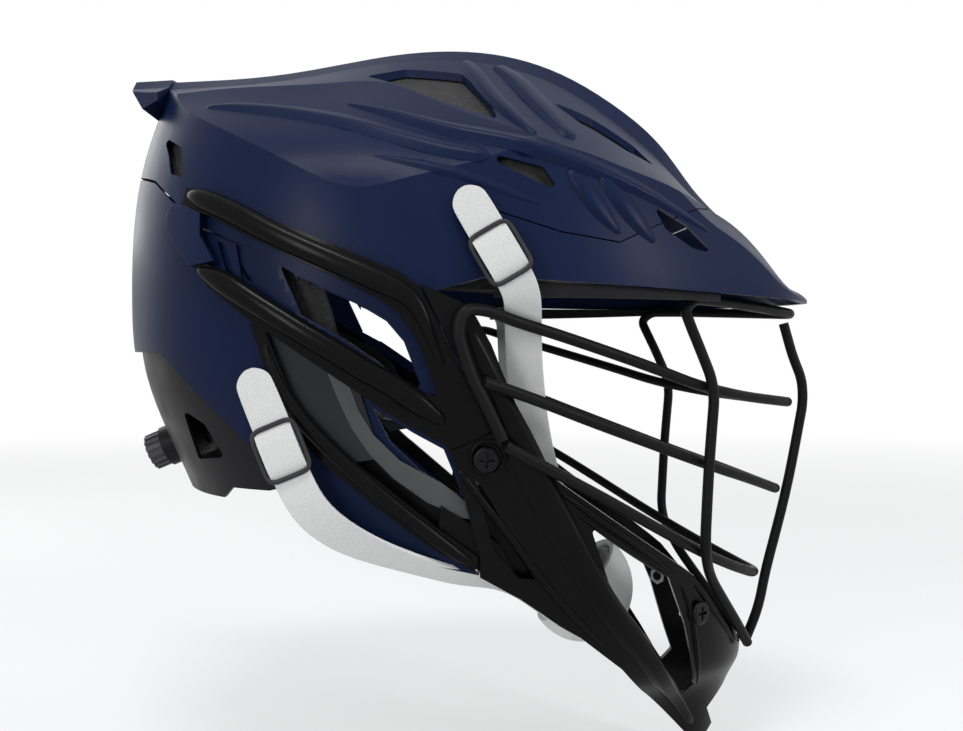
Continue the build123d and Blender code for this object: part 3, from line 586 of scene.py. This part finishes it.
arm_bead = [
    (-0.155, -0.030, 0.3, 0.3), (-0.130, -0.104, 0.8, 0.9), (-0.092, -0.170, 1.0, 1.0),
    (-0.044, -0.224, 1.0, 1.0), (0.019, -0.284, 1.0, 1.0), (0.113, -0.366, 1.0, 1.0),
    (0.173, -0.415, 1.0, 1.0), (0.230, -0.460, 0.8, 0.8), (0.258, -0.478, 0.3, 0.3),
]
lay_bars("rail_beads", [nodes["side_frame_right"]], [
    (upper_bead, 0.0094, 0.0027, round_top), (lower_bead, 0.0094, 0.0027, round_top),
    (arm_bead, 0.0066, 0.0022, round_top),
], piano)

# Chin guard: the same glossy black plastic, moulded in one piece. A raised flat runs down
# its main strut, and fine ridges stiffen its back, its beams and the chin plate.
finish_nodes(piano, "chin_guard")
main_strut = [
    (0.250, -0.005, 0.3, 0.2), (0.280, -0.074, 0.6, 0.5), (0.315, -0.154, 0.8, 0.8),
    (0.357, -0.245, 1.0, 1.0), (0.408, -0.349, 1.0, 1.0), (0.466, -0.458, 1.0, 1.0),
    (0.541, -0.584, 0.9, 1.0), (0.636, -0.712, 0.8, 1.0), (0.726, -0.850, 0.6, 0.8),
    (0.782, -0.935, 0.3, 0.3),
]
back_ridge = [
    (0.215, -0.262, 0.3, 0.3), (0.262, -0.327, 1.0, 1.0), (0.320, -0.403, 1.0, 1.0),
    (0.388, -0.500, 1.0, 1.0), (0.436, -0.562, 1.0, 1.0), (0.488, -0.622, 0.9, 1.0),
    (0.538, -0.676, 0.3, 0.3),
]
upper_beam = [
    (0.436, -0.335, 0.3, 0.3), (0.490, -0.374, 1.0, 1.0), (0.535, -0.408, 1.0, 1.0),
    (0.620, -0.471, 1.0, 1.0), (0.720, -0.550, 0.3, 0.3),
]
lower_beam = [
    (0.470, -0.380, 0.3, 0.3), (0.525, -0.421, 1.0, 1.0), (0.610, -0.485, 1.0, 1.0),
    (0.690, -0.545, 0.3, 0.3),
]
window_ridge = [
    (0.722, -0.566, 0.3, 0.3), (0.742, -0.610, 1.0, 1.0), (0.756, -0.660, 1.0, 1.0),
    (0.770, -0.740, 1.0, 1.0), (0.785, -0.830, 0.3, 0.3),
]
plate_ridge = [
    (0.758, -0.572, 0.3, 0.3), (0.790, -0.612, 1.0, 1.0), (0.825, -0.658, 1.0, 1.0),
    (0.860, -0.704, 0.9, 0.9), (0.892, -0.748, 0.3, 0.3),
]
lay_bars("guard_ridges", [nodes["chin_guard"]], [
    (main_strut, 0.0135, 0.0028, flat_top), (back_ridge, 0.0034, 0.0014, round_top),
    (upper_beam, 0.0032, 0.0014, round_top), (lower_beam, 0.0026, 0.0012, round_top),
    (window_ridge, 0.0030, 0.0013, round_top), (plate_ridge, 0.0030, 0.0012, round_top),
], piano)

# Screw seats: raised rings moulded on the guard round the side and chin screws, in the
# guard's own black. Each lies level with the places on the guard under its wire.
ring_touches = 8
ring_round, wire_round = 64, 12


def boss_ring(name, x, z, radius, wire):
    """Raised ring round a screw, lying on the guard on both sides."""
    hits = []
    for step in range(ring_touches):
        turn = 2 * math.pi * step / ring_touches
        hit = level_hit(
            nodes["chin_guard"], reach * x + radius * math.cos(turn),
            drop * z + radius * math.sin(turn),
        )
        if hit:
            hits.append(hit)
    centre = sum((place for place, outward in hits), Vector()) / len(hits)
    outward = sum((outward for place, outward in hits), Vector()).normalized()
    bpy.ops.object.select_all(action="DESELECT")
    bpy.ops.mesh.primitive_torus_add(
        major_radius=radius, minor_radius=wire, major_segments=ring_round,
        minor_segments=wire_round, location=centre,
        rotation=outward.to_track_quat("Z", "Y").to_euler(),
    )
    ring = bpy.context.object
    ring.name = name
    bpy.ops.object.transform_apply(location=True, rotation=True, scale=True)
    apply_steps(ring, [other_side])
    bpy.ops.object.shade_smooth()
    ring.data.materials.append(piano)
    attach(ring, "helmet")


boss_ring("side_boss_rings", x=0.287, z=-0.259, radius=0.0068, wire=0.0010)
boss_ring("chin_boss_rings", x=0.750, z=-0.639, radius=0.0056, wire=0.0008)

# Jaw panels: dark grey plastic inside the guard. On the right side they have the paler
# strut that curves along the jaw window, and under it a black sheet that is painted
# shadow for the shade there, not a part. On the left side these would close the view
# through both windows.
panel = lacquered(
    "panel_grey", (0.017, 0.018, 0.020), rough=(0.42, 0.55), wear=40.0,
    pores=(1200.0, 0.25, 0.0003), shine=0.08,
)
finish_nodes(panel, "jaw_panel_left", "jaw_panel_right")
strut_grey = lacquered(
    "strut_grey", (0.055, 0.056, 0.058), rough=(0.40, 0.52), wear=40.0,
    pores=(1200.0, 0.25, 0.0003), shine=0.1,
)
jaw_strut = [
    (-0.033, -0.080), (-0.008, -0.088), (0.016, -0.120), (0.032, -0.164), (0.060, -0.213),
    (0.112, -0.265), (0.193, -0.311), (0.245, -0.351), (0.255, -0.386), (0.237, -0.384),
    (0.166, -0.351), (0.098, -0.301), (0.052, -0.253), (0.016, -0.199), (-0.012, -0.136),
]
# Painted shadow: outline of a black sheet laid where the jaw lies in shade.
jaw_painted_shadow = [
    (-0.045, -0.195), (0.012, -0.195), (0.056, -0.241), (0.102, -0.285), (0.172, -0.335),
    (0.257, -0.375), (0.297, -0.450), (0.273, -0.458), (0.193, -0.416), (0.092, -0.345),
    (0.002, -0.269),
]
side_sheet(
    "jaw_strut", jaw_strut, strut_grey, inset=0.0045, thickness=0.0034,
    both=False,
)
# Painted shadow: the black sheet under the jaw strut, in the guard's black.
side_sheet(
    "jaw_painted_shadow", jaw_painted_shadow, piano, inset=0.0066, thickness=0.0024, both=False
)

# Guard plates: thin webs of the guard's black plastic. One closes the corner at the side
# screw and one the end of the frame's lower arm. The third is a black sheet across the
# slot in the rear rib, painted shadow for the shade inside that slot.
corner_plate = [
    (0.168, -0.140), (0.237, -0.177), (0.321, -0.221), (0.329, -0.285), (0.301, -0.341),
    (0.269, -0.293), (0.213, -0.249), (0.172, -0.185),
]
# Painted shadow: black sheet filling the shaded slot in the rear rib.
rib_shadow_plate = [
    (0.249, -0.301), (0.297, -0.337), (0.404, -0.490), (0.394, -0.518), (0.313, -0.518),
    (0.281, -0.458), (0.265, -0.386),
]
lower_plate = [
    (0.193, -0.357), (0.269, -0.406), (0.313, -0.442), (0.353, -0.522), (0.337, -0.534),
    (0.283, -0.502), (0.229, -0.470), (0.185, -0.426),
]
side_sheet(
    "corner_plates", corner_plate, piano, inset=0.0030, thickness=0.0030
)
# Painted shadow: the rib plates stand for the shade inside the rib slot.
side_sheet("rib_shadow_plates", rib_shadow_plate, piano, inset=0.0075, thickness=0.0024)
side_sheet("lower_plates", lower_plate, piano, inset=0.0034, thickness=0.0030)

# Face mask: steel wire, bent and welded, then dipped in a dark grey satin coating that
# thickens at the welds.
coating = lacquered(
    "wire_coating", (0.0055, 0.0055, 0.006), rough=(0.34, 0.48), wear=90.0,
    pores=(1400.0, 0.25, 0.0004), shine=0.06,
)
finish_nodes(
    coating, "mask_upper_bar", "mask_middle_bar", "mask_lower_bar", "mask_upright_loop",
    "mask_center_bar",
)

# Screws and nuts: blackened steel screws with a cross recess, and plain nuts of bare
# steel inside. They hold guard and mask to the shell.
black_steel = lacquered(
    "blackened_steel", (0.012, 0.012, 0.013), rough=(0.28, 0.45), wear=200.0,
    pores=(2500.0, 0.2, 0.0002),
)
bare_steel = lacquered(
    "bare_steel", (0.42, 0.42, 0.43), rough=(0.26, 0.40), wear=150.0,
    pores=(2500.0, 0.2, 0.0002),
)
for steel in (black_steel, bare_steel):
    steel.node_tree.nodes["Principled BSDF"].inputs["Metallic"].default_value = 1.0
finish_nodes(black_steel, "side_screws", "chin_screws")
finish_nodes(bare_steel, "side_nuts", "chin_nuts")

# Rear fit system: black nylon bracket, cradle and dial sleeve, with a grey dial cap on a
# spindle of bare steel. The bracket is fixed inside the rear shell, and the dial moves
# the cradle along the spindle.
nylon = lacquered(
    "black_nylon", (0.008, 0.008, 0.009), rough=(0.34, 0.48), wear=60.0,
    pores=(1500.0, 0.3, 0.0003), shine=0.08,
)
finish_nodes(nylon, "cradle_bracket", "fit_cradle", "dial_sleeve")
cap_grey = lacquered(
    "dial_cap_grey", (0.045, 0.045, 0.048), rough=(0.40, 0.55), wear=120.0,
    pores=(1800.0, 0.3, 0.0003),
)
finish_nodes(cap_grey, "dial_cap")
finish_nodes(bare_steel, "dial_spindle")

# Chin cup: a pale moulded plastic cup at the lower end of the four straps, which shows
# between the guard's struts.
cup_white = lacquered(
    "cup_shell", (0.50, 0.50, 0.49), rough=(0.42, 0.55), wear=50.0,
    pores=(1500.0, 0.2, 0.0003),
)
finish_nodes(cup_white, "chin_cup")

# Liner: a hard shell of fused foam beads behind the plastic, seen through the vents. On
# the right side a pane of it stands behind the ear window.
bead_rough = 0.85
bead_joint = 0.6
bead_relief = 0.7


def beaded(name, light, dark, bead_scale, depth):
    """Fused foam beads: rounded cells with dark joints between them."""
    material, tree, skin = new_skin(name)
    skin.inputs["Roughness"].default_value = bead_rough
    beads = pattern(tree, "ShaderNodeTexVoronoi", bead_scale)
    joint = tree.nodes.new("ShaderNodeMapRange")
    joint.inputs["From Max"].default_value = bead_joint
    tree.links.new(beads.outputs["Distance"], joint.inputs["Value"])
    tint(tree, skin, joint.outputs["Result"], light, dark)
    dent(tree, skin, beads.outputs["Distance"], bead_relief, depth, inward=True)
    return material


liner_beads = beaded(
    "liner_beads", light=(0.022, 0.022, 0.024), dark=(0.008, 0.008, 0.009), bead_scale=330.0,
    depth=0.0006,
)
finish_nodes(liner_beads, "foam_liner")
window_liner = [
    (-0.153, 0.157), (-0.053, 0.105), (-0.029, 0.037), (-0.012, -0.032), (-0.089, -0.004),
    (-0.149, 0.057),
]
side_sheet(
    "window_liner", window_liner, liner_beads, inset=0.0150, thickness=0.0040,
    both=False,
)

# Chin straps: pale woven webbing, four straps from rounded tabs on the shell, through
# the sliders and down to the chin cup. Each is laid flat along its own route, whose rows
# hold the shares of reach, half width and drop, and the strap's lean in quarter turns.
half_width = 0.100
webbing_width = 0.015
webbing_thickness = 0.0013
webbing_columns = 4
webbing_bevel_share = 0.3
webbing_levels = 2
webbing_smooth = math.radians(40)
tab_steps = (1.0, 0.92, 0.7, 0.38)
tab_blunt = 0.985
quarter_turn = math.pi / 2
front_route = [
    (0.255, 1.068, 0.243, 0.0), (0.3125, 1.080, 0.145, 0.0), (0.352, 1.088, 0.078, 0.0),
    (0.358, 1.020, 0.046, 0.0), (0.360, 0.912, 0.004, 0.0), (0.362, 0.885, -0.060, 0.0),
    (0.368, 0.865, -0.130, 0.0), (0.382, 0.820, -0.240, 0.0), (0.425, 0.690, -0.380, 0.1),
    (0.475, 0.540, -0.480, 0.2), (0.505, 0.440, -0.545, 0.15), (0.525, 0.405, -0.600, 0.05),
    (0.540, 0.402, -0.635, 0.0),
]
rear_route = [
    (-0.170, 1.062, -0.117, 0.0), (-0.117, 1.080, -0.243, 0.0), (-0.084, 1.091, -0.322, 0.0),
    (-0.052, 1.076, -0.373, 0.10), (0.005, 1.034, -0.420, 0.30), (0.080, 0.980, -0.457, 0.52),
    (0.170, 0.905, -0.492, 0.62), (0.250, 0.830, -0.521, 0.62), (0.320, 0.700, -0.538, 0.60),
    (0.375, 0.575, -0.568, 0.52), (0.430, 0.455, -0.618, 0.46), (0.490, 0.375, -0.668, 0.43),
    (0.525, 0.348, -0.690, 0.43),
]
weave_rough = 0.75
weave_sheen = 0.25
rib_pitch_share = 1.5
# Painted shade: how much darker the weave is coloured in its hollows.
painted_hollow_shade = 0.86
thread_relief = 0.6


def woven(name, colour, thread, depth):
    """Webbing: ribs across and threads along, read from the strap's own measured map."""
    material, tree, skin = new_skin(name)
    skin.inputs["Roughness"].default_value = weave_rough
    skin.inputs["Sheen Weight"].default_value = weave_sheen
    place = tree.nodes.new("ShaderNodeUVMap")
    parts = tree.nodes.new("ShaderNodeSeparateXYZ")
    tree.links.new(place.outputs["UV"], parts.inputs["Vector"])
    waves = []
    for axis, pitch in (("X", thread), ("Y", thread * rib_pitch_share)):
        count = tree.nodes.new("ShaderNodeMath")
        count.operation = "MULTIPLY"
        count.inputs[1].default_value = 2 * math.pi / pitch
        tree.links.new(parts.outputs[axis], count.inputs[0])
        wave = tree.nodes.new("ShaderNodeMath")
        wave.operation = "SINE"
        tree.links.new(count.outputs[0], wave.inputs[0])
        waves.append(wave.outputs[0])
    lift = tree.nodes.new("ShaderNodeMapRange")
    lift.inputs["From Min"].default_value = -1.0
    tree.links.new(math_node(tree, "MULTIPLY", *waves), lift.inputs["Value"])
    # Painted shade: the low parts of the weave are coloured darker, as if in shade.
    hollow_shaded = [part * painted_hollow_shade for part in colour]
    tint(tree, skin, lift.outputs["Result"], hollow_shaded, colour)
    dent(tree, skin, lift.outputs["Result"], thread_relief, depth)
    return material


def route_spots(route, side):
    """Places of a route on one side of the helmet, 1 for left and -1 for right."""
    return [Vector((reach * x, side * half_width * y, drop * z)) for x, y, z, lean in route]


def webbing_rows(route, side):
    """Centre, way across and share of the full width at each row, tab end first."""
    spots = route_spots(route, side)
    rows = []
    for index, (spot, row) in enumerate(zip(spots, route)):
        heading = spots[min(index + 1, len(spots) - 1)] - spots[max(index - 1, 0)]
        heading.normalize()
        turn = quarter_turn * row[3]
        outward = Vector((0, side * math.cos(turn), -math.sin(turn)))
        across = heading.cross(outward).normalized()
        if index == 0:
            for step in tab_steps:
                tip = spot - heading * step * webbing_width / 2
                rows.append((tip, across, math.sqrt(1.0 - min(step, tab_blunt) ** 2)))
        rows.append((spot, across, 1.0))
    return rows


def webbing_offset(column, share):
    """How far a column of the webbing lies from its middle line."""
    return (column / webbing_columns - 0.5) * webbing_width * share


def map_webbing(piece, map_at):
    """Give webbing its measured map: across it, then along it, for each row and column."""
    layer = piece.data.uv_layers[0].data
    for loop in piece.data.loops:
        layer[loop.index].uv = map_at(*divmod(loop.vertex_index, webbing_columns + 1))


def lay_webbing(name, route, side):
    rows = webbing_rows(route, side)
    run = [0.0]
    for before, after in zip(rows, rows[1:]):
        run.append(run[-1] + (after[0] - before[0]).length)

    def strap_place(row, column):
        spot, across, share = rows[row]
        return spot + across * webbing_offset(column, share)

    def strap_map(row, column):
        return webbing_offset(column, rows[row][2]) + webbing_width, run[row]

    strap = laid_grid(name, webbing_columns, len(rows) - 1, strap_place)
    map_webbing(strap, strap_map)
    face_outwards()
    apply_steps(strap, [
        ("SUBSURF", {"levels": webbing_levels, "render_levels": webbing_levels}),
        ("SOLIDIFY", {"thickness": webbing_thickness, "offset": 0.0}),
        ("BEVEL", {
            "width": webbing_thickness * webbing_bevel_share, "segments": bevel_steps,
        }),
    ])
    bpy.ops.object.shade_smooth_by_angle(angle=webbing_smooth)
    return strap


webbing = woven("pale_webbing", (0.56, 0.56, 0.55), thread=0.0009, depth=0.0002)
strap_runs = [
    (end, route, hand, side)
    for end, route in (("front", front_route), ("rear", rear_route))
    for hand, side in (("left", 1), ("right", -1))
]
for end, route, hand, side in strap_runs:
    strap = lay_webbing(f"{end}_strap_webbing_{hand}", route, side)
    strap.data.materials.append(webbing)
    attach(strap, "helmet")
    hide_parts(f"{end}_strap_{hand}")

# Sliders: a dark grey moulded buckle with a fine spark-eroded skin on each strap. It is a
# thin squared frame, and the webbing makes a turn over the bar in its middle.
slider_half = (0.0090, 0.0108)
slider_bar = 0.0019
slider_square = 6.0
slider_lift = 0.0011
slider_height_share = 0.55
slider_round, slider_bar_round = 72, 12
unit_bar = 0.25
hump_rise = 0.0016
hump_lift_share = 0.6
hump_power, tuck_power = 3, 6
hump_width_share, hump_length_share = 1.01, 0.94
hump_rows = 16
slider = lacquered(
    "slider_grey", (0.022, 0.022, 0.024), rough=(0.42, 0.58), wear=120.0,
    pores=(1800.0, 0.3, 0.0003), shine=0.15,
)
finish_nodes(
    slider, "front_strap_buckle_left", "front_strap_buckle_right", "rear_strap_buckle_left",
    "rear_strap_buckle_right",
)


def slider_seat(buckle, route, side):
    """Middle of a slider on its strap, with the ways across, along and out of the strap."""
    corners = numpy.array([buckle.matrix_world @ Vector(corner) for corner in buckle.bound_box])
    centre = Vector((corners.min(axis=0) + corners.max(axis=0)) / 2)
    upper, middle, lower = route_spots(route, side)[:3]
    heading = (lower - upper).normalized()
    across = heading.cross(Vector((0, side, 0))).normalized()
    outward = across.cross(heading).normalized()
    return centre - outward * (centre - middle).dot(outward), across, heading, outward


def slider_frame(name, seat):
    """Unit ring drawn out to the slider's squared frame."""
    centre, across, heading, outward = seat
    bpy.ops.object.select_all(action="DESELECT")
    bpy.ops.mesh.primitive_torus_add(
        major_radius=1.0, minor_radius=unit_bar, major_segments=slider_round,
        minor_segments=slider_bar_round,
    )
    ring = bpy.context.object
    ring.name = name
    for vertex in ring.data.vertices:
        x, y, z = vertex.co
        angle = math.atan2(y, x)
        c, s = math.cos(angle), math.sin(angle)
        squared = (abs(c) ** slider_square + abs(s) ** slider_square) ** (-1 / slider_square)
        facing = Vector((
            math.copysign(abs(c) ** (slider_square - 1), c) / slider_half[0],
            math.copysign(abs(s) ** (slider_square - 1), s) / slider_half[1],
        )).normalized()
        out = (math.hypot(x, y) - 1.0) / unit_bar * slider_bar / 2
        vertex.co = (
            centre + across * (c * squared * slider_half[0] + facing.x * out)
            + heading * (s * squared * slider_half[1] + facing.y * out)
            + outward * (slider_lift + z / unit_bar * slider_bar * slider_height_share)
        )
    bpy.ops.object.shade_smooth()
    ring.data.materials.append(slider)
    return ring


def bar_turn(name, seat):
    """Turn of webbing that passes over a slider's bar."""
    centre, across, heading, outward = seat

    def turn_place(row, column):
        t = row / hump_rows * 2 - 1
        rise = hump_rise * (1 - abs(t) ** hump_power) - webbing_thickness * abs(t) ** tuck_power
        return (
            centre + across * webbing_offset(column, hump_width_share)
            + heading * t * slider_half[1] * hump_length_share
            + outward * (webbing_thickness * hump_lift_share + rise)
        )

    def turn_map(row, column):
        return webbing_offset(column, 1.0) + webbing_width, row / hump_rows * 2 * slider_half[1]

    turn = laid_grid(name, webbing_columns, hump_rows, turn_place)
    map_webbing(turn, turn_map)
    apply_steps(turn, [("SOLIDIFY", {"thickness": webbing_thickness, "offset": 0.0})])
    bpy.ops.object.shade_smooth_by_angle(angle=webbing_smooth)
    turn.data.materials.append(webbing)
    return turn


for end, route, hand, side in strap_runs:
    node, body = f"{end}_strap_buckle_{hand}", f"{end}_buckle_{hand}"
    seat = slider_seat(nodes[node], route, side)
    ring = slider_frame(f"{end}_strap_slider_{hand}_frame", seat)
    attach(ring, body)
    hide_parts(node)
    turn = bar_turn(f"{end}_strap_slider_{hand}_turn", seat)
    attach(turn, body)

# Fit pads: soft foam in a brushed knit cover, stuck inside the liner, the side bands,
# the cradle and the chin cup. Each keeps its moulded form with rolled, pulled-in edges.
pad_merge = 0.00002
pad_voxel = 0.0022
pad_ease = 0.45
pad_rounds = 10
pad_levels = 1
knit_rough = 0.9
knit_sheen = 0.5
knit_cloud = 60.0
knit_shades = (0.7, 1.2)
knit_relief = 0.6


def knitted(name, colour, stitch, depth):
    """Brushed knit: fine cells with a soft sheen."""
    material, tree, skin = new_skin(name)
    skin.inputs["Roughness"].default_value = knit_rough
    skin.inputs["Sheen Weight"].default_value = knit_sheen
    cells = pattern(tree, "ShaderNodeTexVoronoi", stitch)
    clouds = pattern(tree, "ShaderNodeTexNoise", knit_cloud)
    dark, light = [[part * shade for part in colour] for shade in knit_shades]
    tint(tree, skin, clouds.outputs["Fac"], dark, light)
    dent(tree, skin, cells.outputs["Distance"], knit_relief, depth)
    return material


def stuff_pad(node, body, material):
    """Cover of a pad, made from a merged copy of its solid and eased at the edges."""
    source = nodes[node]
    pad = source.copy()
    pad.data = source.data.copy()
    pad.name = node + "_cover"
    pad.parent = None
    for key in list(pad.keys()):
        del pad[key]
    bpy.context.collection.objects.link(pad)
    pad.hide_render = False
    pad.hide_viewport = False
    take_in_hand([pad])
    pad.matrix_world = source.matrix_world
    bpy.ops.object.transform_apply(location=True, rotation=True, scale=True)
    face_outwards(pad_merge)
    apply_steps(pad, [
        ("REMESH", {"mode": "VOXEL", "voxel_size": pad_voxel}),
        ("SMOOTH", {"factor": pad_ease, "iterations": pad_rounds}),
        ("SUBSURF", {"levels": pad_levels, "render_levels": pad_levels}),
    ])
    bpy.ops.object.shade_smooth()
    pad.data.materials.clear()
    pad.data.materials.append(material)
    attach(pad, body)
    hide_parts(node)


knit = knitted("pad_knit", (0.020, 0.020, 0.022), stitch=1500.0, depth=0.0003)
for node in (
    "crown_pad", "front_pad", "rear_pad", "side_pad_left", "side_pad_right", "jaw_pad_left",
    "jaw_pad_right", "chin_cup_pad",
):
    stuff_pad(node, "helmet", knit)
stuff_pad("cradle_pad", "fit_cradle", knit)
